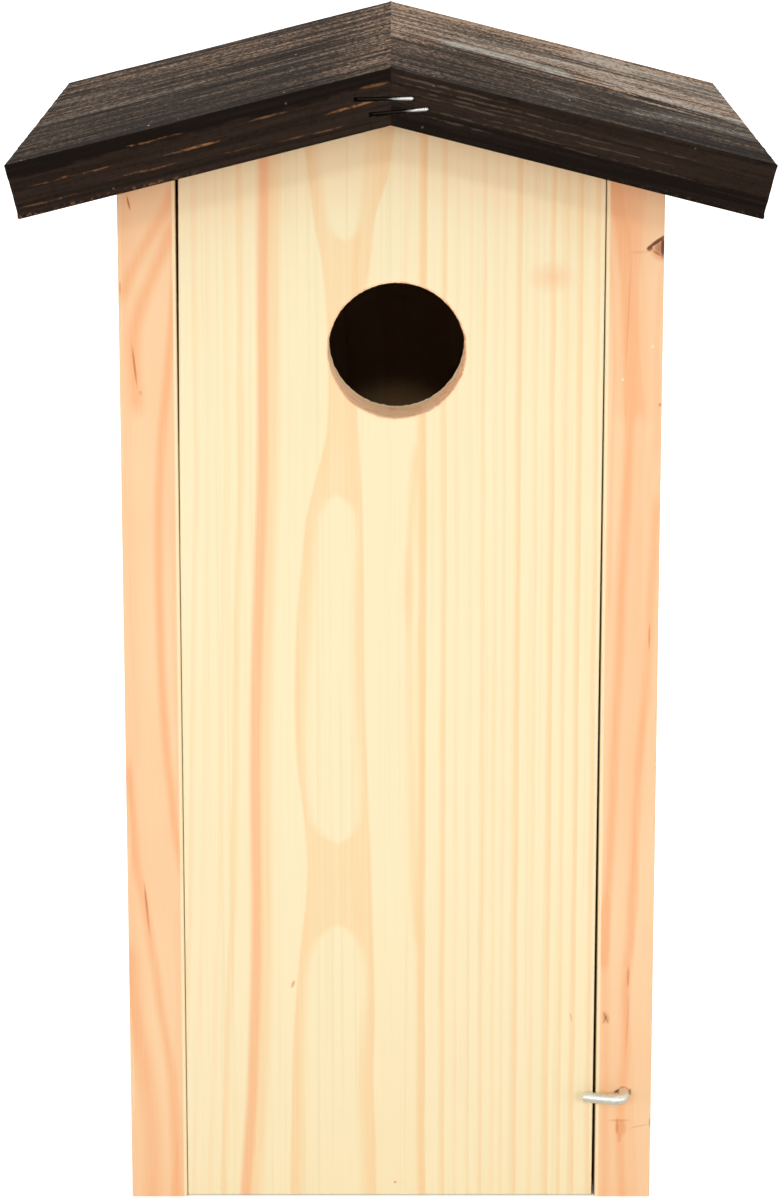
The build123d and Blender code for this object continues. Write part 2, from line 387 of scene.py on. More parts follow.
class Finish:
    """A material's nodes, added one after another; places and sizes are in millimetres."""

    def __init__(self, name, kind="materials"):
        self.owner = getattr(bpy.data, kind).new(name)
        self.owner.use_nodes = True
        self.tree = self.owner.node_tree
        self.tree.nodes.clear()

    def add(self, kind, inputs, output=0, **settings):
        """Adds a node and gives one of its outputs, if it has any."""
        node = self.tree.nodes.new(kind)
        for setting, value in settings.items():
            setattr(node, setting, value)
        for socket, value in inputs.items():
            self.feed(node.inputs[socket], value)
        return Value(self, node.outputs[output]) if node.outputs else None

    def feed(self, socket, value):
        """Links a socket to a value, or gives it a number, a place or a colour."""
        if isinstance(value, Value):
            self.tree.links.new(value.socket, socket)
        elif socket.type == "RGBA":
            socket.default_value = (*value[:3], 1.0)
        else:
            socket.default_value = value

    def place(self):
        """The point's place on the box."""
        return self.vector("SCALE", self.add("ShaderNodeTexCoord", {}, "Object"), 1 / MM)

    def vector(self, operation, first, second=(0, 0, 0)):
        inputs = {0: first, "Scale" if operation == "SCALE" else 1: second}
        output = "Value" if operation == "LENGTH" else "Vector"
        return self.add("ShaderNodeVectorMath", inputs, output, operation=operation)

    def math(self, operation, *values):
        return self.add("ShaderNodeMath", dict(enumerate(values)), operation=operation)

    def split(self, vector):
        x = self.add("ShaderNodeSeparateXYZ", {"Vector": vector})
        return x, x.other("Y"), x.other("Z")

    def combine(self, x, y, z):
        return self.add("ShaderNodeCombineXYZ", {"X": x, "Y": y, "Z": z})

    def mapped(self, vector, move=(0, 0, 0), turn=(0, 0, 0), size=(1, 1, 1), kind="POINT"):
        turn = tuple(math.radians(angle) for angle in turn)
        inputs = {"Vector": vector, "Location": move, "Rotation": turn, "Scale": size}
        return self.add("ShaderNodeMapping", inputs, vector_type=kind)

    def noise(self, vector, scale, detail=2.0, roughness=0.5, output="Fac"):
        """Cloudy noise from 0 to 1; scale is one number, or three for stretched clouds."""
        if isinstance(scale, tuple):
            vector = self.vector("MULTIPLY", vector, scale)
            scale = 1.0
        inputs = {"Vector": vector, "Scale": scale, "Detail": detail, "Roughness": roughness}
        return self.add("ShaderNodeTexNoise", inputs, output)

    def fade(self, value, start, end, low=0.0, high=1.0):
        """Goes softly from low to high as value goes from start to end."""
        inputs = {"Value": value, "From Min": start, "From Max": end, "To Min": low, "To Max": high}
        return self.add("ShaderNodeMapRange", inputs, interpolation_type="SMOOTHSTEP")

    def follow(self, value, points):
        """A soft curve along (value, amount) points, lowest value first."""
        first, last = points[0][0], points[-1][0]
        amounts = [amount for _, amount in points]
        low, rise = min(amounts), max(amounts) - min(amounts)
        amount = self.add("ShaderNodeValToRGB", {"Fac": (value - first) / (last - first)})
        ramp = amount.socket.node.color_ramp
        ramp.interpolation = "B_SPLINE"
        while len(ramp.elements) < len(points):
            ramp.elements.new(0.5)
        for stop, (where, height) in zip(ramp.elements, points):
            stop.position = (where - first) / (last - first)
            grey = (height - low) / rise
            stop.color = (grey, grey, grey, 1.0)
        return amount * rise + low

    def mix(self, amount, first, second, blend="MIX"):
        inputs = {0: amount, 6: first, 7: second}
        return self.add("ShaderNodeMix", inputs, 2, data_type="RGBA", blend_type=blend)

    def smudge(self, place, centre, size, turn=(0, 0, 0)):
        """A soft spot, 1 in its middle and 0 at size from it."""
        spot = self.mapped(place, centre, turn, size, kind="TEXTURE")
        return self.add("ShaderNodeTexGradient", {"Vector": spot}, "Fac", gradient_type="SPHERICAL")

    def bump(self, height, distance, strength):
        inputs = {"Height": height, "Distance": distance * MM, "Strength": strength}
        return self.add("ShaderNodeBump", inputs)

    def surface(self, **sockets):
        """Closes the material with its shader; names use _ for spaces."""
        inputs = {name.replace("_", " "): value for name, value in sockets.items()}
        shader = self.add("ShaderNodeBsdfPrincipled", inputs)
        self.add("ShaderNodeOutputMaterial", {"Surface": shader})
        return self.owner


def wobble(n, place, scale, amount):
    """Moves a place about by up to half the amount each way."""
    shift = n.vector("SUBTRACT", n.noise(place, scale, output="Color"), (0.5, 0.5, 0.5))
    return n.vector("ADD", place, n.vector("MULTIPLY", shift, amount))


def add_up(n, parts):
    """The parts' sum, 1 at most."""
    return n.math("MINIMUM", sum(parts[1:], parts[0]), 1.0)


def ring_line(n, across, middle, width, strength):
    """The late wood of one growth ring: soft towards the heart, sharp on the outside."""
    if middle < 0:
        width = -width
    rise = n.fade(across, middle - 0.9 * width, middle + 0.1 * width)
    fall = n.fade(across, middle + 0.3 * width, middle + 0.7 * width, 1.0, 0.0)
    return rise * fall * strength


VEIN_END = 9.0


def vein(n, across, along, points, half_width, strength, blur=1.0):
    """A band of late wood whose middle follows (along, across) points."""
    off = abs(across - n.follow(along, points))
    band = n.fade(off, half_width, half_width * (1 - blur), 0.0, strength)
    start, end = points[0][0], points[-1][0]
    ends = n.fade(along, start, start + VEIN_END) * n.fade(along, end - VEIN_END, end, 1.0, 0.0)
    return band * ends


def veins(n, across, along, table):
    return [vein(n, across, along, *row) for row in table]


MARK_DEPTH = 4.0


def spots(n, place, marks):
    """Small marks in a front: across, up, half sizes, a turn in degrees and a strength."""
    parts = []
    for across, up, half_width, half_height, turn, strength in marks:
        size = (half_width, MARK_DEPTH, half_height)
        spot = n.smudge(place, (across, FRONT, up), size, (0, turn, 0))
        parts.append(n.fade(spot, 0.0, 0.6) * strength)
    return add_up(n, parts)


# How far down the painted shade under the roof reaches, in millimetres
ROOF_SHADE_REACH = 34.0


def painted_roof_shade(n, place, base, shade):
    """Painted shade: darkens the wood softly right under the roof, where the roof's shadow falls.
    """
    x, _, z = n.split(place)
    line = abs(x) * math.tan(ROOF_SLOPE) + z
    near = n.fade(line, DOOR_TOP / MM - ROOF_SHADE_REACH, DOOR_TOP / MM)
    return n.mix(near, base, shade, "MULTIPLY")


def unplaned_and_painted_shade(n, base, inside):
    """Darker wood on the faces inside the box: partly their unplaned wood and partly painted shade.
    """
    return n.mix(inside, base, (0.5, 0.4, 0.3), "MULTIPLY")


def bare_wood(n, base, fibres, height, dullness=(0.62, 0.5), relief=(0.08, 0.6), **others):
    """Closes a bare board's material; dullness is the roughness of its soft and hard fibres."""
    return n.surface(
        Base_Color=base,
        Roughness=n.fade(fibres, 0.2, 0.8, *dullness),
        Specular_IOR_Level=0.3,
        Normal=n.bump(height, *relief),
        **others,
    )


# Growth rings of the door by where they cross its front: place, width and strength
DOOR_LINES = (
    (-66.2, 1.7, 0.4),
    (-62.1, 1.8, 0.2),
    (-56.5, 1.8, 0.25),
    (-51.8, 2.2, 0.6),
    (10.3, 2.8, 1.0),
    (17.4, 2.0, 0.65),
    (21.7, 1.5, 0.25),
    (26.1, 1.5, 0.22),
    (30.4, 1.7, 0.5),
    (34.4, 1.7, 0.28),
    (37.4, 1.5, 0.3),
    (41.9, 2.0, 0.75),
    (47.4, 2.0, 0.32),
    (52.9, 1.9, 0.75),
    (57.2, 1.7, 0.5),
    (61.8, 1.8, 0.8),
    (67.3, 1.8, 0.62),
)

# The heart of the door's tree lies behind its front; to its left the rings drift with the height
DOOR_HEART = (-20.9, 30.0)
DOOR_DRIFT = (
    (0, -5.9), (35, -4.7), (72, -3.0), (108, -1.3), (178, 0.0), (220, 1.1), (254, 2.3), (376, 2.5),
)

# The resinous band, and fainter veins: points (height, across), half width and strength
DOOR_BAND = (
    (-9, -50.6), (11, -49.4), (35, -47.5), (72, -45.8), (108, -45.2), (143, -45.6), (178, -45.3),
    (220, -43.7), (254, -42.4), (324, -41.8), (342, -41.6), (385, -41.2),
)
DOOR_VEINS = (
    (((88, 9.2), (108, 7.8), (143, 7.0), (178, 6.6), (220, 5.7), (240, 6.6), (268, 8.4)),
     2.2, 0.6),
    (((300, 3.4), (324, 4.6), (350, 5.6), (385, 6.0)), 2.2, 0.25),
    (((300, -11.2), (324, -12.4), (345, -9.0), (385, -6.0)), 2.0, 0.35),
)

# The innermost ring, which the front only grazes, so that it closes to ovals: outer and inner
# edge on its left and on its right, by height
OVAL_EDGES = (
    (
        (-9, -35.2), (25, -34.6), (60, -33.6), (90, -31), (113, -28), (134, -28.9), (152, -31.5),
        (178, -33), (211, -31.6), (240, -28.6), (255, -25.2), (270, -20.5), (300, -21.0),
        (314, -21.5), (322, -22.3), (329, -23.2), (337, -25), (345, -26), (353, -26.8), (370, -29),
        (385, -31),
    ),
    (
        (-9, -30), (25, -29.8), (60, -29), (80, -28.4), (88, -27), (94, -24.5), (97, -21.5),
        (99.5, -17), (103, -8), (124, -8), (127, -16), (128.5, -20), (131, -23.5), (136, -26.5),
        (146, -28.2), (178, -28.6), (215, -25.5), (238, -24.5), (247, -22), (251, -12), (256, -8),
        (329, -8), (332.5, -12.5), (334.5, -17), (338, -20), (345, -21.5), (353, -22.3),
        (385, -26.5),
    ),
    (
        (-9, -9.6), (25, -10.5), (45, -12), (70, -9), (80, -8.6), (88, -9.6), (94, -12), (97, -15),
        (99.5, -19), (103, -28), (124, -28), (127, -20), (128.5, -16), (131, -13), (136, -11),
        (146, -10), (178, -12), (211, -13), (238, -11), (246, -13), (250, -22), (256, -28),
        (329, -22), (332.5, -17), (334.5, -12.5), (338, -10), (345, -8.5), (353, -7.8), (385, -4),
    ),
    (
        (-9, -4.8), (25, -5), (45, -6.4), (62, -4.9), (90, -5.8), (113, -6.3), (135, -6.8),
        (178, -8.5), (240, -9), (262, -9.8), (300, -12), (312, -9), (322, -7), (330, -5.8),
        (338, -5.6), (346, -3.6), (354, -0.6), (370, 1.6), (385, 3),
    ),
)

# Orange flushes in the door: middle, half sizes and strength
DOOR_FLUSHES = (
    ((5.6, -69, 217), (2.6, 9, 18), 0.35),
    ((52.6, -69, 321.5), (9, 9, 6), 0.65),
)

# Small marks in the door: across, up, half sizes, turn and strength
DOOR_MARKS = (
    (-33.3, 77.5, 0.7, 1.9, 20, 0.6),
    (1.4, 5.3, 0.7, 0.6, 0, 0.7),
    (61.3, 65.6, 0.35, 2.2, -12, 0.45),
)


def oval_ring(n, x, z):
    """The innermost ring's late wood on the front, filled where its two sides meet."""
    outer_left, inner_left, inner_right, outer_right = (n.follow(z, edge) for edge in OVAL_EDGES)
    sides = []
    within = []
    for outer, inner, outwards in ((outer_left, inner_left, -1), (outer_right, inner_right, 1)):
        depth = (outer - x) * outwards
        inside = (inner - x) * outwards
        within.append(n.fade(depth, -0.3, 0.9))
        sides.append(n.fade(inside, 2.2, -2.6) * n.fade(depth, 0.0, 6.0, 1.0, 0.78))
    return n.math("MAXIMUM", *sides) * (within[0] * within[1])


def bore_distance(n, place):
    """How far a place lies outside the wall of the entrance hole."""
    out = n.vector("SUBTRACT", place, HOLE_CENTRE)
    return n.vector("LENGTH", n.vector("MULTIPLY", out, (1, 0, 1))) - HOLE_RADIUS


def bored_wood(n, colours, place):
    """The sawn wall of the entrance hole, streaked across the grain, with a painted highlight along
    its back edge.
    """
    x, y, z = n.split(n.vector("SUBTRACT", place, HOLE_CENTRE))
    round_it = n.math("ARCTAN2", x, z) * HOLE_RADIUS
    wall_place = n.combine(round_it, y, 0.0)
    sawn = n.noise(wall_place, (0.12, 0.9, 1.0), detail=4.0, roughness=0.65)
    torn = n.noise(wall_place, (0.35, 0.5, 1.0), detail=4.0, roughness=0.7)
    rough_side = n.fade(round_it, 20.0, 34.0) * n.fade(round_it, 62.0, 50.0)
    torn = n.fade(torn, 0.5, 0.6) * rough_side
    marks = n.math("MAXIMUM", n.fade(sawn, 0.48, 0.66, 0.0, 0.8), torn)
    wall = n.mix(marks, colours.bore_pink, colours.bore_streak)
    # Painted highlight along the back edge of the hole's wall
    return n.mix(n.fade(y, BEHIND_DOOR - 3.6, BEHIND_DOOR - 2.0), wall, colours.edge_highlight_and_specks)


def door_rings(n, place, x, y, z):
    """The door's late wood, where the rings and the paler veins show."""
    heart_x, heart_depth = DOOR_HEART
    drift = n.follow(z, DOOR_DRIFT) * n.fade(x, -8.0, -36.0)
    off_heart = x - drift - heart_x
    radius = n.vector("LENGTH", n.combine(off_heart, y - (FRONT + heart_depth), 0.0))
    shiver = n.noise(place, (0.35, 0.35, 0.03), detail=3.0)
    radius = (shiver - 0.5) * 0.8 + radius
    across = n.math("SIGN", off_heart) * (radius - heart_depth)
    rings = [oval_ring(n, x, z) * 0.82]
    for middle, width, strength in DOOR_LINES:
        aside = middle - heart_x
        reach = math.hypot(aside, heart_depth)
        ring = math.copysign(reach - heart_depth, aside)
        rings.append(ring_line(n, across, ring, width * abs(aside) / reach, strength))
    beside_band = tuple((height, band + 3.2) for height, band in DOOR_BAND)
    pale = veins(n, x, z, (*DOOR_VEINS, (beside_band, 3.8, 0.75)))
    return add_up(n, rings + pale)


def door_wood(colours):
    n = Finish("door_pine")
    place = n.place()
    x, y, z = n.split(wobble(n, place, (0.02, 0.02, 0.012), (0.9, 0.9, 0.0)))
    oranges = [vein(n, x, z, DOOR_BAND, 2.9, 1.0, 0.75)]
    for centre, size, strength in DOOR_FLUSHES:
        oranges.append(n.smudge(place, centre, size) * strength)
    fibres = n.noise(place, (1.2, 1.2, 0.014), detail=5.0, roughness=0.65)
    threads = n.noise(place, (0.55, 0.55, 0.004), detail=3.0, roughness=0.6)
    cloud = n.noise(place, (0.05, 0.05, 0.012))
    tan = door_rings(n, place, x, y, z) * n.fade(fibres, 0.25, 0.75, 0.7, 1.15)
    orange = add_up(n, oranges) * n.fade(fibres, 0.25, 0.75, 0.85, 1.08)
    lines = n.fade(threads, 0.5, 0.68) * 0.55
    warm = n.fade(cloud, 0.35, 0.75, 0.0, 0.08) + n.fade(fibres, 0.5, 0.75, 0.0, 0.18)
    base = n.mix(lines, colours.door_pale, colours.door_line)
    base = n.mix(warm, base, colours.door_tan)
    base = n.mix(tan, base, colours.door_tan)
    base = n.mix(orange, base, colours.door_orange)
    base = n.mix(spots(n, place, DOOR_MARKS), base, colours.wood_glow)
    # Painted shade of the roof over the door's upper part
    base = painted_roof_shade(n, place, base, (1.0, 0.85, 0.79))
    bore = n.fade(bore_distance(n, place), 0.6, 0.35)
    base = n.mix(bore, base, bored_wood(n, colours, place))
    inside = n.fade(n.split(place)[1], BEHIND_DOOR - 0.7, BEHIND_DOOR)
    # The door's inner face, apart from the hole: partly unplaned wood, partly painted shade
    base = unplaned_and_painted_shade(n, base, inside * (bore * -1.0 + 1.0))
    return bare_wood(n, base, fibres, fibres * 0.5 + (tan + orange), Diffuse_Roughness=bore)


def board_wood(n, place, heart, spacing, pale, late, bands=(), ring_strength=0.6):
    """Pine whose grain runs along z of the given place, round a heart at (x, y)."""
    x, y, _ = n.split(wobble(n, place, (0.012, 0.012, 0.007), (7.0, 7.0, 0.0)))
    radius = n.vector("LENGTH", n.combine(x - heart[0], y - heart[1], 0.0))
    shiver = n.noise(place, (0.3, 0.3, 0.03), detail=3.0)
    count = (shiver * 0.8 + radius) / spacing
    uneven = n.noise(n.combine(count, 0.0, 0.0), 0.7, detail=1.0)
    count = uneven * 1.2 + count
    phase = n.math("FRACT", count)
    number = {"W": n.math("FLOOR", count)}
    varied = n.add("ShaderNodeTexWhiteNoise", number, "Value", noise_dimensions="1D")
    late_wood = n.fade(phase, 0.45, 0.93) * n.fade(phase, 0.955, 1.0, 1.0, 0.0)
    late_wood = late_wood * n.fade(varied, 0.0, 1.0, 0.35, 1.0) * ring_strength
    late_wood = add_up(n, [late_wood, *bands])
    fibres = n.noise(place, (2.1, 2.1, 0.05), detail=4.0, roughness=0.6)
    cloud = n.noise(place, (0.04, 0.04, 0.012))
    late_wood = late_wood * n.fade(fibres, 0.2, 0.8, 0.75, 1.12)
    base = n.mix(n.fade(cloud, 0.3, 0.75) * 0.3, pale, late)
    base = n.mix(n.fade(fibres, 0.45, 0.8) * 0.15, base, late)
    return n.mix(late_wood, base, late), fibres, fibres * 0.5 + late_wood


# Bands of orange wood in the front edges of the left (-1) and right (1) side boards: points
# (height, across), half width and strength
SIDE_VEINS = {
    -1: (
        (((109, -69), (118, -70.5), (131, -72.8), (143, -73.6), (155, -74.8), (180, -76.5),
          (204, -76.9), (228, -77.2), (252, -76.5), (276, -74.9), (299, -72.3), (318, -70.5),
          (330, -69)), 2.0, 0.95),
        (((-14, -74), (17, -73.9), (43, -74.9), (55, -76.1), (68, -78.4), (81, -79.6), (93, -81.7),
          (106, -83.2), (118, -86.0), (131, -86.9), (143, -87.6), (160, -88.8)), 2.2, 0.75),
        (((-14, -82.2), (4, -82.3), (17, -81.8), (30, -82.3), (43, -83.4), (55, -85.2),
          (68, -87.8), (81, -88.6), (96, -89.5)), 4.2, 0.7),
        (((272, -83), (285, -83.9), (299, -84.4), (306, -83.6), (313, -81.6), (321, -78.4),
          (331, -73.6), (345, -69)), 3.2, 0.9),
        (((308, -91), (316, -88), (325, -84), (334, -79), (343, -74), (356, -68)), 3.0, 0.75),
        (((140, -89), (170, -87.6), (200, -87.3), (240, -88.4), (262, -89.5)), 1.6, 0.3),
    ),
    1: (
        (((80, 72.2), (100, 72.4), (118, 73.6), (131, 73.9), (143, 74.6), (168, 75.0), (192, 76.2),
          (216, 76.5), (240, 77.4), (264, 78.5), (287, 78.3), (311, 77.4), (322, 76.9),
          (334, 75.7), (345, 73.6), (360, 71)), 2.2, 0.9),
        (((-14, 80.0), (4, 79.4), (17, 78.6), (30, 78.4), (43, 79.5), (55, 80.2), (68, 79.8),
          (81, 79.8), (93, 81.0), (118, 82.0), (143, 82.8), (168, 83.9), (180, 85.3), (204, 85.8),
          (228, 86.8), (252, 87.8)), 2.1, 0.72),
        (((205, 72.4), (228, 72.5), (252, 72.6), (276, 73.2), (299, 73.2), (322, 72), (336, 71)),
         1.0, 0.35),
        (((258, 87), (280, 87.6), (300, 87), (330, 88)), 1.6, 0.35),
        (((270, 80.5), (300, 79.5), (325, 78), (345, 75), (365, 73)), 8.0, 0.65),
        (((-14, 73.5), (20, 73.6), (60, 73.0), (90, 72.4), (112, 72.2)), 2.2, 0.6),
    ),
}

# Marks in their front edges by colour: across, up, half sizes, turn and strength
SIDE_MARKS = {
    -1: {
        "wood_glow": (
            (-84.0, 292.0, 0.55, 9.0, -6, 0.9),
            (-82.6, 104.5, 0.6, 12.0, -5, 0.7),
            (-85.2, 346.0, 0.5, 3.2, -12, 0.9),
            (-82.2, 283.0, 0.8, 1.0, 0, 0.4),
            (-88.4, 318.0, 0.5, 3.0, 0, 0.6),
        ),
        "wood_mark": (
            (-84.1, 292.5, 0.25, 6.0, -6, 0.25),
            (-82.8, 107.5, 0.25, 6.0, -5, 0.35),
            (-85.2, 346.0, 0.25, 2.4, -12, 0.4),
        ),
    },
    1: {
        "wood_glow": (
            (86.0, 200.0, 0.45, 6.0, 0, 0.65),
            (80.6, 80.0, 0.6, 5.0, 0, 0.7),
            (80.6, 64.0, 0.5, 14.0, 2, 0.35),
            (77.6, 310.0, 0.35, 22.0, 2, 0.4),
            (88.6, 330.0, 5.0, 4.2, 0, 0.6),
            (88.4, 279.0, 0.9, 0.9, 0, 0.7),
            (78.2, 28.0, 4.8, 0.7, 0, 0.4),
            (77.5, 25.6, 0.7, 4.2, 0, 0.55),
            (79.0, 25.2, 2.3, 3.8, 0, 0.4),
            (78.3, 21.6, 0.9, 2.4, 0, 0.35),
            (85.2, 25.9, 4.6, 0.4, -13, 0.35),
            (81.0, 329.8, 4.5, 0.6, -4, 0.25),
            (73.2, 65.4, 1.6, 3.0, -16, 0.5),
        ),
        "wood_mark": (
            (86.4, 333.2, 4.6, 0.8, -36, 1.0),
            (88.2, 331.6, 3.6, 3.0, -30, 0.5),
            (84.2, 331.0, 1.4, 1.1, -30, 0.85),
            (86.6, 329.4, 2.4, 0.5, 30, 0.45),
            (88.4, 331.4, 0.7, 4.6, 0, 0.9),
            (73.2, 65.5, 0.4, 2.8, -24, 0.45),
            (72.8, 64.6, 0.4, 2.2, 24, 0.4),
            (77.7, 38.8, 2.1, 0.7, -26, 0.95),
            (79.1, 39.8, 0.9, 0.7, 0, 0.9),
            (81.8, 38.4, 0.6, 1.7, 0, 0.7),
            (88.8, 27.3, 0.5, 2.3, 0, 0.5),
        ),
        # Pale specks, in the colour that also serves for painted highlights
        "edge_highlight_and_specks": (
            (85.6, 298.5, 0.55, 0.7, 0, 0.7),
            (76.0, 287.5, 0.55, 0.7, 0, 0.7),
        ),
    },
}


def side_wood(colours, side):
    n = Finish("left_side_pine" if side < 0 else "right_side_pine")
    place = n.place()
    x, y, z = n.split(wobble(n, place, (0.03, 0.03, 0.02), (1.0, 0.0, 0.0)))
    edge = n.fade(y, FRONT + 3.0, FRONT + 9.0, 1.0, 0.0)
    bands = [
        vein(n, x, z, points, half_width * 1.3, strength) * edge
        for points, half_width, strength in SIDE_VEINS[side]
    ]
    heart = (side * 52.0, 22.0 if side < 0 else 34.0)
    pale, late = colours.side_pale, colours.side_orange
    base, fibres, height = board_wood(n, place, heart, 4.6, pale, late, bands, 0.55)
    for tone, marks in SIDE_MARKS[side].items():
        base = n.mix(spots(n, place, marks), base, getattr(colours, tone))
    out = n.split(place)[0] * side
    # Painted highlight along the arris beside the door
    arris = edge * n.fade(out, BESIDE_DOOR + 1.5, BESIDE_DOOR + 0.9, 0.0, 0.8)
    base = n.mix(arris, base, colours.edge_highlight_and_specks)
    # Painted shade of the roof over the board's upper part
    base = painted_roof_shade(n, place, base, (0.95, 0.82, 0.77))
    # The board's inner face: partly unplaned wood, partly painted shade
    base = unplaned_and_painted_shade(n, base, n.fade(out, BESIDE_DOOR + 0.4, BESIDE_DOOR - 0.1))
    return bare_wood(n, base, fibres, height)


def inner_wood(colours, name, turn, heart):
    n = Finish(name)
    place = n.mapped(n.place(), turn=turn)
    pale, late = colours.inner_pale, colours.inner_tan
    base, fibres, height = board_wood(n, place, heart, 4.2, pale, late)
    front = n.fade(n.split(n.place())[1], BEFORE_BACK + 0.4, BEFORE_BACK)
    # The faces in front of the back board, inside the box: partly unplaned wood, partly painted
    # shade
    base = unplaned_and_painted_shade(n, base, front)
    return bare_wood(n, base, fibres, height, (0.66, 0.55), (0.1, 0.7))


# Lines and patches on the roof boards. Tops: points (down the slope, along the eave), half width
# and strength. Fronts: start and end down the slope, height from the top, half width, strength
ROOF_CRACKS = {
    -1: (
        (((-8, -15), (31, -28), (60, -32), (90, -30), (122, -19), (135, -16)), 3.2, 0.5),
        (((-8, -30), (34, -60), (60, -50), (90, -28), (118, -10), (135, 0)), 2.6, 0.45),
        (((84, -38), (102, -34), (136, -46)), 6.0, 0.5),
        (((36, 26), (70, 34), (114, 30)), 3.0, 0.4),
        (((-8, 60), (30, 52), (60, 58)), 3.0, 0.35),
    ),
    1: (
        (((4, -4), (17, -2), (28, -3), (38, -7), (59, -8), (69, -6), (79, -7.5), (85, -12),
          (94, -15), (105, -19), (123, -22), (134, -23)), 3.4, 1.0),
        (((60, 18), (71, 16), (77, 14), (82, 4), (87, -6), (95, -7), (105, -11), (113, -15),
          (122, -17)), 3.0, 0.9),
        (((70, -2), (80, 0), (90, -7), (102, -16)), 4.0, 0.4),
        (((-6, -62), (40, -58), (90, -70), (134, -66)), 3.0, 0.5),
        (((-8, 30), (40, 34), (80, 30), (134, 22)), 3.0, 0.35),
    ),
}
# Painted highlights on the tops where the light would reflect, with some paler patches of stain
ROOF_HIGHLIGHTS_AND_PATCHES = {
    -1: (
        (((62, -6), (91, -12), (117, -20), (135, -16)), 12.0, 0.08),
        (((-8, -12), (16, -20), (40, -24), (66, -26)), 8.0, 0.08),
        (((88, 44), (112, 36), (134, 34)), 12.0, 0.1),
    ),
    1: (
        (((14, 6), (28, 14), (40, 13), (54, 8), (68, 2)), 17.0, 1.1),
        (((70, 16), (90, 11), (106, -2), (134, -12)), 14.0, 0.7),
        (((20, 44), (60, 40), (100, 34), (134, 28)), 14.0, 0.25),
        (((66, 84), (100, 76), (134, 70)), 34.0, 0.4),
        (((50, -62), (58, -60), (66, -60)), 14.0, 0.15),
        (((76, -66), (84, -60), (98, -44), (110, -40), (134, -52)), 20.0, 0.2),
        (((74, -13), (90, -20), (107, -24.5), (126, -27)), 2.6, 0.35),
        (((-8, 40), (60, 50), (134, 44)), 60.0, 0.12),
    ),
}
FRONT_STREAKS = {
    -1: (
        (54, 77, -9.6, 0.5, 1.0),
        (5, 25, -9.4, 0.55, 1.0),
        (88, 121, -8.7, 0.4, 0.6),
        (66, 88, -4.2, 0.45, 0.6),
        (69, 96, -12.8, 0.4, 0.5),
        (102, 125, -14.6, 0.4, 0.5),
        (34, 48, -5.8, 0.45, 0.6),
        (16, 42, -14.4, 0.4, 0.45),
        (44, 60, -13.6, 0.35, 0.35),
        (1, 12, -4.6, 0.6, 0.5),
    ),
    1: (
        (-6, 44, -2.4, 0.5, 0.75),
        (-6, 66, -4.1, 0.45, 0.7),
        (-6, 52, -5.5, 0.4, 0.6),
        (2, 84, -6.8, 0.45, 0.65),
        (16, 104, -8.8, 0.4, 0.55),
        (4, 66, -10.5, 0.45, 0.55),
        (46, 112, -11.4, 0.4, 0.45),
        (8, 38, -12.6, 0.5, 0.55),
        (70, 104, -5.4, 0.45, 0.45),
    ),
}

# Where the tops turn from dark in front to pale behind (down the slope, along the eave), and
# how bright they are in front, behind and at the ridge; the paleness behind and at the ridge
# is partly the stain's tone and partly painted highlight
ROOF_BREAKS = {
    -1: ((-8, -60), (60, -50), (135, -40)),
    1: ((-8, -18), (26, -8), (49, -14), (87, -24), (135, -35)),
}
ROOF_LEVELS = {-1: (0.06, 0.12, 0.16), 1: (0.065, 0.45, 0.08)}


def tilted(n, side):
    """The point's place turned level with a roof board."""
    return n.mapped(n.place(), turn=(0, -side * math.degrees(ROOF_SLOPE), 0))


def roof_top(n, colours, side, place, down, along, pebbles):
    """Dark in front and pale behind, the paleness partly painted highlight, with bands, fine lines,
    painted highlights, paler patches and dark cracks.
    """
    front_level, back_level, ridge_level = ROOF_LEVELS[side]
    beyond = along - n.follow(down, ROOF_BREAKS[side])
    lift = n.fade(beyond, -4.0, 26.0 if side > 0 else 120.0, front_level, back_level)
    lift = lift * n.fade(along, -109.0, -30.0, 0.7, 1.15)
    strips = n.noise(place, (0.01, 0.085, 0.3), detail=3.0, roughness=0.6)
    threads = n.noise(place, (0.022, 0.32, 0.9), detail=4.0, roughness=0.65)
    contrast = n.fade(strips, 0.36, 0.64, 0.3, 1.8) * n.fade(threads, 0.36, 0.64, 0.2, 2.0)
    contrast = contrast * n.fade(pebbles, 0.38, 0.66, 0.3, 2.1)
    cracks = add_up(n, veins(n, along, down, ROOF_CRACKS[side]))
    closed = n.fade(cracks, 0.0, 1.0, 1.0, 0.08)
    raised = (lift + n.fade(down, 0.0, 30.0, ridge_level, 0.0)) * (contrast * closed)
    base = n.mix(n.math("MINIMUM", raised, 1.0), colours.stain_black, colours.stain_warm)
    # Painted highlights and paler patches, mixed in over the stain
    highlights_and_patches = add_up(n, veins(n, along, down, ROOF_HIGHLIGHTS_AND_PATCHES[side]))
    shine = highlights_and_patches * ((contrast * 0.45 + 0.4) * closed)
    return n.mix(n.math("MINIMUM", shine, 1.0), base, colours.highlight_and_pale_stain)


# The streaks on the fronts run on through the whole board
STREAK_DEPTH = 4000


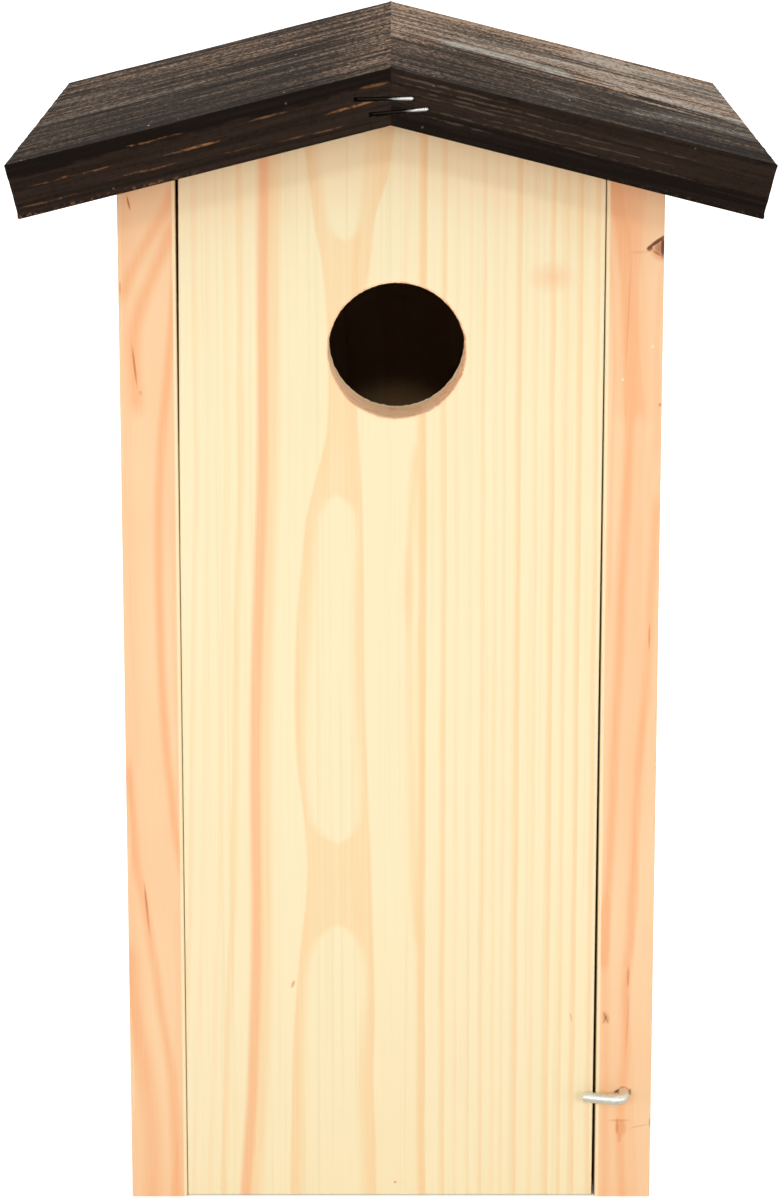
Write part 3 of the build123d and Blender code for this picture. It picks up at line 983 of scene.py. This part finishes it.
def roof_flank(n, colours, side, place, down, along, up, pebbles, brushed):
    """Brown, black under the top arris, with streaks of bare wood."""
    left = side < 0
    wavy = n.noise(place, (0.08, 0.08, 0.0)) * 1.2 + (up - 0.6)
    place_on_flank = n.combine(down, along, wavy)
    streaks = []
    for start, end, height, half_height, strength in FRONT_STREAKS[side]:
        size = ((end - start) / 2, STREAK_DEPTH, half_height)
        streak = n.smudge(place_on_flank, ((start + end) / 2, 0, height), size)
        streaks.append(n.fade(streak, 0.0, 0.5) * strength)
    broken = n.noise(place, (0.22, 0.22, 0.5), detail=3.0, roughness=0.7)
    bare = add_up(n, streaks) * n.fade(broken, 0.4, 0.58, 0.1, 1.0)
    level = n.noise(place, (0.09, 0.09, 0.0)) * 4.5 + up
    rim = n.fade(level, -3.4 if left else 1.6, -2.0 if left else 2.6, 0.0, 0.75)
    low = n.fade(up, -9.0, -14.0, 0.0, 0.1 if left else 0.65)
    dim = n.fade(brushed, 0.6, 0.4, 0.0, 0.5) + n.math("MAXIMUM", rim, low)
    dim = n.math("MINIMUM", dim + n.fade(pebbles, 0.5, 0.35, 0.0, 0.25), 0.95)
    base = n.mix(dim, colours.stain_brown, colours.stain_black)
    base = n.mix(bare, base, colours.stain_orange if left else colours.stain_top)
    foot = n.fade(up, -16.2, -17.4) * n.fade(down, 60.0, 80.0)
    foot = foot * n.fade(pebbles, 0.52, 0.64, 0.0, 0.6 if left else 0.2)
    return n.mix(foot, base, colours.stain_orange)


def staple_groove(n, x, along, up):
    """1 in the grooves that the staples lie in, where painted shade goes."""
    near = n.fade(abs(x), 16.0, 14.0)
    between = n.fade(up, -1.8, -2.2) * n.fade(up, -17.6, -17.2)
    inside = n.fade(abs(along), ROOF_END - 0.8, ROOF_END - 1.1)
    return inside * (near * between)


def roof_dust(n, place, top):
    """Scattered pale specks, most of them on the top."""
    stretched = n.vector("MULTIPLY", place, (0.2, 0.12, 0.2))
    cells = n.add("ShaderNodeTexVoronoi", {"Vector": stretched, "Scale": 1.0}, "Distance")
    chosen = n.fade(n.split(cells.other("Color"))[0], 0.62, 0.66)
    return n.fade(cells, 0.11, 0.04) * chosen * n.fade(top, 0.0, 1.0, 0.12, 0.8)


def roof_wood(colours, side):
    """Dark stained pine, laid out down the slope, along the eave and up through the board."""
    n = Finish("left_roof_stain" if side < 0 else "right_roof_stain")
    x, along, z = n.split(tilted(n, side))
    down = x * side + RIDGE * math.sin(ROOF_SLOPE)
    up = z - RIDGE * math.cos(ROOF_SLOPE)
    place = n.combine(down, along + 300.0 * side, up)
    pebbles = n.noise(place, (0.7, 0.3, 0.8), detail=3.0, roughness=0.7)
    brushed = n.noise(place, (0.012, 0.2, 0.7), detail=6.0, roughness=0.72)
    normal = n.add("ShaderNodeNewGeometry", {}, "Normal")
    top = n.fade(n.split(normal)[2], 0.45, 0.9)
    topside = roof_top(n, colours, side, place, down, along, pebbles)
    flank = roof_flank(n, colours, side, place, down, along, up, pebbles, brushed)
    # Painted shade: the staple grooves in the fronts are painted near black
    flank = n.mix(staple_groove(n, x, along, up), flank, (0.001, 0.001, 0.001))
    base = n.mix(top, flank, topside)
    return n.surface(
        Base_Color=n.mix(roof_dust(n, place, top), base, tint(205, 186, 150)),
        Roughness=n.fade(brushed, 0.3, 0.7, 0.85, 0.7),
        Specular_IOR_Level=0.03,
        Normal=n.bump(pebbles + brushed, 0.25, 0.8),
    )


def metal(n, base, scratches, shine, relief=(0.04, 0.5), **others):
    """Closes a metal's material; shine is the roughness of its smoothest spots."""
    return n.surface(
        Base_Color=base,
        Roughness=n.fade(scratches, 0.3, 0.7, shine, shine + 0.2),
        Normal=n.bump(scratches, *relief),
        **others,
    )


def zinc_plate(colours):
    n = Finish("zinc_plate")
    place = n.place()
    flow = n.noise(place, (0.5, 1.6, 1.6), detail=3.0, roughness=0.6)
    patches = n.noise(place, 1.4, detail=4.0, roughness=0.7)
    dull = n.mix(n.fade(patches, 0.5, 0.75) * 0.5, colours.zinc, tint(150, 146, 138))
    return metal(n, dull, flow, 0.28, (0.06, 0.6), Metallic=0.85)


def drawn_wire(n, place):
    return n.noise(place, (0.6, 3.0, 3.0), detail=3.0, roughness=0.6)


def nail_steel(colours):
    n = Finish("nail_steel")
    place = n.place()
    patches = n.noise(place, 0.9, detail=4.0, roughness=0.65)
    rust = n.fade(patches, 0.58, 0.72) * 0.45
    base = n.mix(rust, colours.steel, tint(120, 82, 55))
    return metal(n, base, drawn_wire(n, place), 0.35, Metallic=0.9)


def staple_steel(colours):
    """Bright wire, painted near black as shade where it lies deep in its groove."""
    n = Finish("staple_steel")
    place = n.place()
    scratches = drawn_wire(n, place)
    depth = scratches * 0.3 + abs(n.split(place)[1])
    # Painted shade where the wire lies deep in the groove: near black and not metallic there
    stained = n.fade(depth, ROOF_END - 0.2, ROOF_END - 0.55)
    bright = n.mix(scratches, colours.steel, (0.75, 0.75, 0.75))
    base = n.mix(stained, bright, colours.stain_black)
    metallic = stained * -0.9 + 0.9
    return metal(n, base, scratches, 0.22, Metallic=metallic, Specular_IOR_Level=0.1)


def brad_steel(colours, name, side):
    """Steel wire whose head is stained over with the roof."""
    n = Finish(name)
    top = RIDGE * math.cos(ROOF_SLOPE)
    head = n.fade(n.split(tilted(n, side))[2], top - 1.6, top - 1.4)
    specks = n.noise(n.place(), 0.8, detail=3.0, roughness=0.7)
    stain = n.mix(n.fade(specks, 0.35, 0.65), colours.stain_brown, colours.stain_top)
    return n.surface(
        Base_Color=n.mix(head, colours.steel, stain),
        Metallic=head * -0.9 + 0.9,
        Roughness=n.fade(specks, 0.3, 0.7, 0.45, 0.7),
        Specular_IOR_Level=0.1,
        Normal=n.bump(specks, 0.1, 0.6),
    )


# Door
HOLE_SEGMENTS = 288
HOLE_STEPS = 22
HOLE_OVERRUN = 2 * MM
SAW_MARK_STRETCH = (0.9 * MM, 4 * MM, 2.2 * MM)
PIVOT_BORE_RADIUS = 1.58 * MM

# The gaps beside the door by height, in millimetres: (height, gap), left (-1) and right (1)
DOOR_GAPS = {
    -1: ((0.5, 0.12), (225.0, 0.16), (262.0, 0.3), (358.0, 1.0)),
    1: ((0.5, 1.0), (358.0, 0.2)),
}


def hole_cutter(sizes, centre, front, back):
    """A rod with flared ends and saw marks round it."""
    deselect()
    radius = sizes.hole_diameter / 2
    arris = sizes.hole_arris
    flare = radius + arris
    bpy.ops.mesh.primitive_circle_add(
        vertices=HOLE_SEGMENTS,
        radius=flare,
        fill_type="NGON",
        location=(centre.x, front - HOLE_OVERRUN, centre.z),
        rotation=(math.pi / 2, 0, 0),
    )
    cutter = bpy.context.object
    bpy.ops.object.mode_set(mode="EDIT")
    bpy.ops.mesh.select_mode(type="FACE")
    thickness = back - front
    mouth = ((-HOLE_OVERRUN, flare), (0.0, flare), (0.35 * arris, radius + 0.3 * arris))
    wall = [
        (arris + (thickness - 2 * arris) * step / HOLE_STEPS, radius)
        for step in range(HOLE_STEPS + 1)
    ]
    rings = [*mouth, *wall, *((thickness - depth, size) for depth, size in reversed(mouth))]
    for (last_depth, last_radius), (depth, ring_radius) in zip(rings, rings[1:]):
        move = (0, depth - last_depth, 0)
        bpy.ops.mesh.extrude_region_move(TRANSFORM_OT_translate={"value": move})
        size = ring_radius / last_radius
        if size != 1.0:
            place = (centre.x, front + depth, centre.z)
            bpy.ops.transform.resize(value=(size, 1.0, size), center_override=place)
    close_edit()
    settle(cutter, "hole_cutter")
    face_outwards(cutter)
    roughen(cutter, sizes.saw_marks, Matrix.Identity(4), SAW_MARK_STRETCH, 0.5, detail=3)
    return cutter


def pivot_bore(side):
    """A rod where a pivot nail runs in the door."""
    low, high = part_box("left_pivot_nail" if side < 0 else "right_pivot_nail")
    deselect()
    bpy.ops.mesh.primitive_cylinder_add(
        vertices=32,
        radius=PIVOT_BORE_RADIUS,
        depth=high.x - low.x,
        location=(low + high) / 2,
        rotation=(0, math.pi / 2, 0),
    )
    return settle(bpy.context.object, "pivot_bore")


def model_door(sizes):
    low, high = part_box("door")
    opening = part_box("right_side")[0].x
    door = add_block("door_board", Vector((-opening, *low.yz)), Vector((opening, *high.yz)))
    apex = Vector((0, 0, high.z))
    for side, gaps in DOOR_GAPS.items():
        for (foot, foot_gap), (head, head_gap) in zip(gaps, gaps[1:]):
            lean = math.atan((head_gap - foot_gap) / (head - foot))
            place = Vector((side * (opening - foot_gap * MM), 0, foot * MM))
            cut_off(door, place, (side * math.cos(lean), 0, math.sin(lean)))
        cut_off(door, apex, (side * math.sin(ROOF_SLOPE), 0, math.cos(ROOF_SLOPE)))
    modify(door, "BEVEL", width=sizes.board_arris, segments=3, limit_method="ANGLE")
    centre = Vector((HOLE_OFFSET, 0, high.z - HOLE_DROP))
    carve(door, hole_cutter(sizes, centre, low.y, high.y))
    for side in (-1, 1):
        carve(door, pivot_bore(side))
    smooth(door)
    modify(door, "WEIGHTED_NORMAL", keep_sharp=True)
    return door


# Latch
LATCH_REACH = 7.9 * MM
LATCH_TIP_REACH = 4.3 * MM
LATCH_ARM = 13.9 * MM
LATCH_END_BEVEL = 0.6 * MM


def model_latch(sizes):
    low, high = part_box("latch_hook")
    wire = sizes.latch_wire
    corner = Vector((high.x - wire / 2, FRONT_FACE - LATCH_REACH, (low.z + high.z) / 2))
    tip = Vector((corner.x - LATCH_ARM, FRONT_FACE - LATCH_TIP_REACH, corner.z))
    arm = tip - corner
    turn = math.pi / 2 + math.atan2(arm.y, -arm.x)
    trim = sizes.latch_bend * math.tan(turn / 2)
    bend = (turn, (0, 0, -1), sizes.latch_bend)
    route = [high.y - corner.y - trim, bend, arm.length - trim]
    latch = bend_wire("latch_wire", wire, (corner.x, high.y, corner.z), (0, -1, 0), route)
    ends = {"limit_method": "ANGLE", "angle_limit": math.radians(60)}
    modify(latch, "BEVEL", width=LATCH_END_BEVEL, segments=3, **ends)
    smooth(latch)
    return latch


# Staples: each one's rise above the apex, offset from the ridge and turn, as in the frame
STAPLES = {
    "upper": (8.3 * MM, -2.0 * MM, math.radians(1.0)),
    "lower": (4.3 * MM, 2.7 * MM, math.radians(5.5)),
}
STAPLE_TILT = math.radians(4.5)
STAPLE_DEPTH = 1.4 * MM
STAPLE_LEG = 20 * MM
STAPLE_BEND = 0.85 * MM
STAPLE_PLAY = 0.05 * MM


def staple_place(end, rise, offset, turn):
    """Where a staple stands in the roof's front end (-1) or back end (1)."""
    front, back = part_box("roof_left")
    face = front.y if end < 0 else back.y
    height = DOOR_TOP + DOOR_GAP_TOP + rise
    origin = Vector((-end * offset, face - end * STAPLE_DEPTH, height))
    stand = Matrix(((-end, 0, 0), (0, 0, end), (0, 1, 0))).to_4x4()
    lean = Matrix.Rotation(end * turn, 4, "Y") @ Matrix.Rotation(-STAPLE_TILT, 4, "Z")
    return Matrix.Translation(origin) @ lean @ stand


def model_staple(sizes, name, place, play=0.0):
    """A staple, or with some play all round the cutter for its seat."""
    half = sizes.staple_crown / 2
    across = (0, 1, 0)
    quarter = (math.pi / 2, across, STAPLE_BEND)
    leg = STAPLE_LEG + play - STAPLE_BEND
    route = [leg, quarter, 2 * (half - STAPLE_BEND), quarter, leg]
    start = (-half, 0, -STAPLE_LEG - play)
    staple = bend_wire(name, sizes.staple_wire + 2 * play, start, (0, 0, 1), route, 24)
    staple.matrix_world = place
    settle(staple, name)
    smooth(staple)
    return staple


def staple_seat(sizes, place):
    """Cutters for a staple's crown and legs, and for the groove above the crown."""
    half = sizes.staple_crown / 2
    seat = sizes.staple_wire / 2 + STAPLE_PLAY
    legs = model_staple(sizes, "staple_seat", place, STAPLE_PLAY)
    side = seat + STAPLE_PLAY
    high = Vector((half + side, side, seat + STAPLE_DEPTH + MM))
    groove = add_block("staple_groove", Vector((-half - side, -side, -STAPLE_PLAY)), high)
    groove.matrix_world = place
    return legs, settle(groove, "staple_groove")


# Roof: faces down the slope and along the eave, which the brushed grain is pressed into
ROOF_FACES_DOWN = 46
ROOF_FACES_ALONG = 272
ROOF_LAYERS = 9
ROOF_GRAINS = (((55 * MM, 1.3 * MM, 1.3 * MM), 3), ((90 * MM, 5 * MM, 5 * MM), 2))
ROOF_GRAIN_SHIFT = 0.3


def on_plane(start, end, ends):
    """Which of a block's six faces an edge lies in."""
    return [
        max(abs(start[face // 2] - ends[face]), abs(end[face // 2] - ends[face])) < 0.01 * MM
        for face in range(6)
    ]


def weathered(point, ends):
    """True away from the underside and the mitre."""
    return point.z > ends[4] + 1 * MM and point.x > ends[0] + 1 * MM


def model_roof_board(sizes, side):
    """A flat block with its grain, tilted, mitred at the ridge and cut out for the staples."""
    low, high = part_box("roof_left" if side < 0 else "roof_right")
    name = "roof_board_left" if side < 0 else "roof_board_right"
    ridge = Vector((0, 0, high.z))
    heel = ROOF_THICKNESS * math.tan(ROOF_SLOPE)
    ends = (-heel, ROOF_LENGTH, low.y, high.y, -ROOF_THICKNESS, 0.0)
    deselect()
    bpy.ops.mesh.primitive_grid_add(
        x_subdivisions=ROOF_FACES_DOWN, y_subdivisions=ROOF_FACES_ALONG, size=1.0
    )
    board = bpy.context.object
    board.scale = (ROOF_LENGTH + heel, high.y - low.y, 1.0)
    board.location = ((ROOF_LENGTH - heel) / 2, (low.y + high.y) / 2, -ROOF_THICKNESS)
    settle(board, name)
    edit(board)
    for _ in range(ROOF_LAYERS):
        move = (0, 0, ROOF_THICKNESS / ROOF_LAYERS)
        bpy.ops.mesh.extrude_region_move(TRANSFORM_OT_translate={"value": move})
    close_edit()
    face_outwards(board)
    edit_edges(board, lambda a, b: sum(on_plane(a, b, ends)) > 1 and a.x + b.x > 0)
    bpy.ops.mesh.bevel(offset=sizes.roof_arris, segments=2, affect="EDGES")
    close_edit()
    grain = Matrix.Translation((0, side * ROOF_GRAIN_SHIFT, 0))
    group = board.vertex_groups.new(name="weathered")
    shown = [v.index for v in board.data.vertices if weathered(v.co, ends)]
    group.add(shown, 1.0, "REPLACE")
    for stretch, detail in ROOF_GRAINS:
        roughen(board, sizes.roof_relief, grain, stretch, 1.0, detail, "weathered")
    board.matrix_world = Matrix.Translation(ridge) @ Matrix.Rotation(ROOF_SLOPE, 4, "Y")
    settle(board, name)
    cut_off(board, ridge, (-1, 0, 0))
    if side < 0:
        board.matrix_world = Matrix.Rotation(math.pi, 4, "Z")
        settle(board, name)
    for end in (-1, 1):
        for staple in STAPLES.values():
            for cutter in staple_seat(sizes, staple_place(end, *staple)):
                carve(board, cutter)
    smooth(board, angle=40)
    return board


# Studio
WHITE = (1.0, 1.0, 1.0)
WORLD_LIGHT = 0.48

# The floor's glow towards the camera, near the box and far away, in millimetres from its middle
FLOOR_GLOW = 0.5
FLOOR_GLOW_START = 250.0
FLOOR_GLOW_END = 1400.0

# Lamps: azimuth and height above the floor, distance, width, height and watts
SOFTBOXES = (
    ("near_left", -25, 0.42, 1.35, 0.3, 0.2, 2.55),
    ("near_right", 25, 0.42, 1.35, 0.3, 0.2, 2.55),
    ("side_left", -60, 0.32, 2.0, 0.8, 0.5, 3.0),
    ("side_right", 60, 0.32, 2.0, 0.8, 0.5, 3.0),
    ("back_right", 135, 0.3, 2.0, 0.8, 0.5, 9.0),
    ("back_left", 225, 0.3, 2.0, 0.8, 0.5, 9.0),
    ("key", 0, 1.25, 2.2, 0.15, 0.15, 5.3),
    ("top", 180, 1.9, 0.6, 1.2, 1.2, 9.8),
)
LAMP_AIM = Vector((0, 0, 0.2))

CAMERA_SHIFT_X = -0.0008
CAMERA_SHIFT_Y = -0.2


def make_floor(studio):
    """A pale floor that glows towards the camera, but not under the box."""
    deselect()
    bpy.ops.mesh.primitive_plane_add(size=studio.floor_size, location=(0, 0, SIDE_BOTTOM))
    floor = settle(bpy.context.object, "floor")
    n = Finish("pale_floor")
    grain = n.noise(n.place(), 0.004)
    colour_here = n.mix(grain, (0.86, 0.86, 0.86), (0.89, 0.89, 0.89))
    diffuse = n.add("ShaderNodeBsdfDiffuse", {"Color": colour_here})
    far = n.vector("LENGTH", n.place())
    x, y, _ = n.split(n.place())
    low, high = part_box("right_side")
    middle, reach = (high.y + low.y) / 2 / MM, (high.y - low.y) / 2 / MM
    outside = n.math("MAXIMUM", abs(x) / (high.x / MM), abs(y - middle) / reach)
    glow_level = n.fade(far, FLOOR_GLOW_START, FLOOR_GLOW_END, FLOOR_GLOW, 1.0)
    glow_level = glow_level * n.fade(outside, 0.97, 1.0)
    glow = n.add("ShaderNodeEmission", {"Color": WHITE, "Strength": glow_level})
    both = n.add("ShaderNodeAddShader", {0: diffuse, 1: glow})
    seen = n.add("ShaderNodeLightPath", {}, "Is Camera Ray")
    shown = n.add("ShaderNodeMixShader", {0: seen, 1: diffuse, 2: both})
    n.add("ShaderNodeOutputMaterial", {"Surface": shown})
    floor.data.materials.append(n.owner)


def make_world():
    """Soft light all round, in front of a background that is white to the camera and in mirrors."""
    n = Finish("studio", "worlds")
    path = n.add("ShaderNodeLightPath", {}, "Is Camera Ray")
    seen = n.math("MAXIMUM", path, path.other("Is Glossy Ray"))
    seen = n.math("MAXIMUM", seen, path.other("Is Transmission Ray"))
    level = seen * (1.0 - WORLD_LIGHT) + WORLD_LIGHT
    sky = n.add("ShaderNodeBackground", {"Color": WHITE, "Strength": level})
    n.add("ShaderNodeOutputWorld", {"Surface": sky})
    bpy.context.scene.world = n.owner


def make_lamps(studio):
    for name, azimuth, height, distance, width, depth, power in SOFTBOXES:
        angle = math.radians(azimuth)
        place = Vector((math.sin(angle) * distance, -math.cos(angle) * distance, height))
        deselect()
        bpy.ops.object.light_add(type="AREA", location=place)
        lamp = bpy.context.object
        lamp.name = name
        lamp.rotation_euler = (LAMP_AIM - place).to_track_quat("-Z", "Y").to_euler()
        lamp.data.shape = "RECTANGLE"
        lamp.data.size = width
        lamp.data.size_y = depth
        lamp.data.energy = power * studio.light_level
        lamp.visible_camera = False


def make_camera(studio):
    deselect()
    place = (0, FRONT_FACE - studio.camera_distance, studio.camera_height)
    turn = (math.pi / 2 - studio.camera_tilt, 0, 0)
    bpy.ops.object.camera_add(location=place, rotation=turn)
    camera = bpy.context.object
    camera.name = "camera"
    camera.data.lens = studio.lens
    camera.data.sensor_width = 36
    camera.data.shift_x = CAMERA_SHIFT_X
    camera.data.shift_y = CAMERA_SHIFT_Y
    camera.data.clip_start = 0.05
    bpy.context.scene.camera = camera


# Operators
class NESTBOX_OT_door(bpy.types.Operator):
    """Build the door with its entrance hole"""

    bl_idname = "nest_box.door"
    bl_label = "Door"

    def execute(self, context):
        scene = context.scene
        door = model_door(scene.nest_box_sizes)
        finish_piece(door, "door", "door_wood", door_wood(scene.nest_box_colours), "door")
        return {"FINISHED"}


class NESTBOX_OT_boards(bpy.types.Operator):
    """Finish the side boards, the back board and the floor board"""

    bl_idname = "nest_box.boards"
    bl_label = "Side, back and floor boards"

    def execute(self, context):
        colours = context.scene.nest_box_colours
        dress_node("left_side", side_wood(colours, -1))
        dress_node("right_side", side_wood(colours, 1))
        dress_node("back_board", inner_wood(colours, "back_pine", (0, 0, 0), (12.0, 148.0)))
        dress_node("floor_board", inner_wood(colours, "floor_pine", (0, 90, 0), (40.0, 20.0)))
        return {"FINISHED"}


class NESTBOX_OT_roof(bpy.types.Operator):
    """Build the two stained roof boards"""

    bl_idname = "nest_box.roof"
    bl_label = "Roof boards"

    def execute(self, context):
        scene = context.scene
        for side, node in ((-1, "roof_left"), (1, "roof_right")):
            board = model_roof_board(scene.nest_box_sizes, side)
            stain = roof_wood(scene.nest_box_colours, side)
            finish_piece(board, "box", "roof_wood", stain, node)
        return {"FINISHED"}


class NESTBOX_OT_latch(bpy.types.Operator):
    """Build the bent wire latch"""

    bl_idname = "nest_box.latch"
    bl_label = "Latch"

    def execute(self, context):
        scene = context.scene
        latch = model_latch(scene.nest_box_sizes)
        finish_piece(latch, "latch", "latch_zinc", zinc_plate(scene.nest_box_colours), "latch_hook")
        return {"FINISHED"}


class NESTBOX_OT_staples(bpy.types.Operator):
    """Build the staples across the ridge"""

    bl_idname = "nest_box.staples"
    bl_label = "Staples"

    def execute(self, context):
        scene = context.scene
        steel = staple_steel(scene.nest_box_colours)
        for end, place in ((-1, "front"), (1, "rear")):
            for level, (rise, offset, turn) in STAPLES.items():
                stand = staple_place(end, rise, offset, turn)
                name = place + "_staple_" + level
                staple = model_staple(scene.nest_box_sizes, name, stand)
                node = place + "_ridge_staple_" + level
                finish_piece(staple, "box", "staple_steel", steel, node)
        return {"FINISHED"}


class NESTBOX_OT_nails(bpy.types.Operator):
    """Finish the nails and brads"""

    bl_idname = "nest_box.nails"
    bl_label = "Nails and brads"

    def execute(self, context):
        colours = context.scene.nest_box_colours
        steel = nail_steel(colours)
        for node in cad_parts:
            if node.endswith(("nail", "nails")):
                dress_node(node, steel)
        for node, side in (("left_roof_brads", -1), ("right_roof_brads", 1)):
            dress_node(node, brad_steel(colours, node, side))
        return {"FINISHED"}


class NESTBOX_OT_studio(bpy.types.Operator):
    """Set up the floor, the lamps and the camera"""

    bl_idname = "nest_box.studio"
    bl_label = "Studio"

    def execute(self, context):
        studio = context.scene.nest_box_studio
        make_floor(studio)
        make_world()
        make_lamps(studio)
        make_camera(studio)
        context.scene.view_settings.view_transform = "Standard"
        return {"FINISHED"}


class NESTBOX_PT_panel(bpy.types.Panel):
    """Sizes, colours and pieces of the nest box"""

    bl_idname = "NESTBOX_PT_panel"
    bl_label = "Bird Nest Box"
    bl_space_type = "VIEW_3D"
    bl_region_type = "UI"
    bl_category = "Nest Box"

    def draw(self, context):
        scene = context.scene
        for group in (scene.nest_box_sizes, scene.nest_box_colours, scene.nest_box_studio):
            column = self.layout.box().column()
            for name in group.__annotations__:
                column.prop(group, name)
        for operator in OPERATORS:
            self.layout.operator(operator.bl_idname)


OPERATORS = (
    NESTBOX_OT_door,
    NESTBOX_OT_boards,
    NESTBOX_OT_roof,
    NESTBOX_OT_latch,
    NESTBOX_OT_staples,
    NESTBOX_OT_nails,
    NESTBOX_OT_studio,
)
CLASSES = (NestBoxSizes, NestBoxColours, NestBoxStudio, *OPERATORS, NESTBOX_PT_panel)


def register():
    for item in CLASSES:
        bpy.utils.register_class(item)
    bpy.types.Scene.nest_box_sizes = bpy.props.PointerProperty(type=NestBoxSizes)
    bpy.types.Scene.nest_box_colours = bpy.props.PointerProperty(type=NestBoxColours)
    bpy.types.Scene.nest_box_studio = bpy.props.PointerProperty(type=NestBoxStudio)


def unregister():
    del bpy.types.Scene.nest_box_studio
    del bpy.types.Scene.nest_box_colours
    del bpy.types.Scene.nest_box_sizes
    for item in reversed(CLASSES):
        bpy.utils.unregister_class(item)


def main():
    register()
    bpy.ops.nest_box.studio()
    bpy.ops.nest_box.door()
    bpy.ops.nest_box.boards()
    bpy.ops.nest_box.roof()
    bpy.ops.nest_box.latch()
    bpy.ops.nest_box.staples()
    bpy.ops.nest_box.nails()


if __name__ == "__main__":
    main()
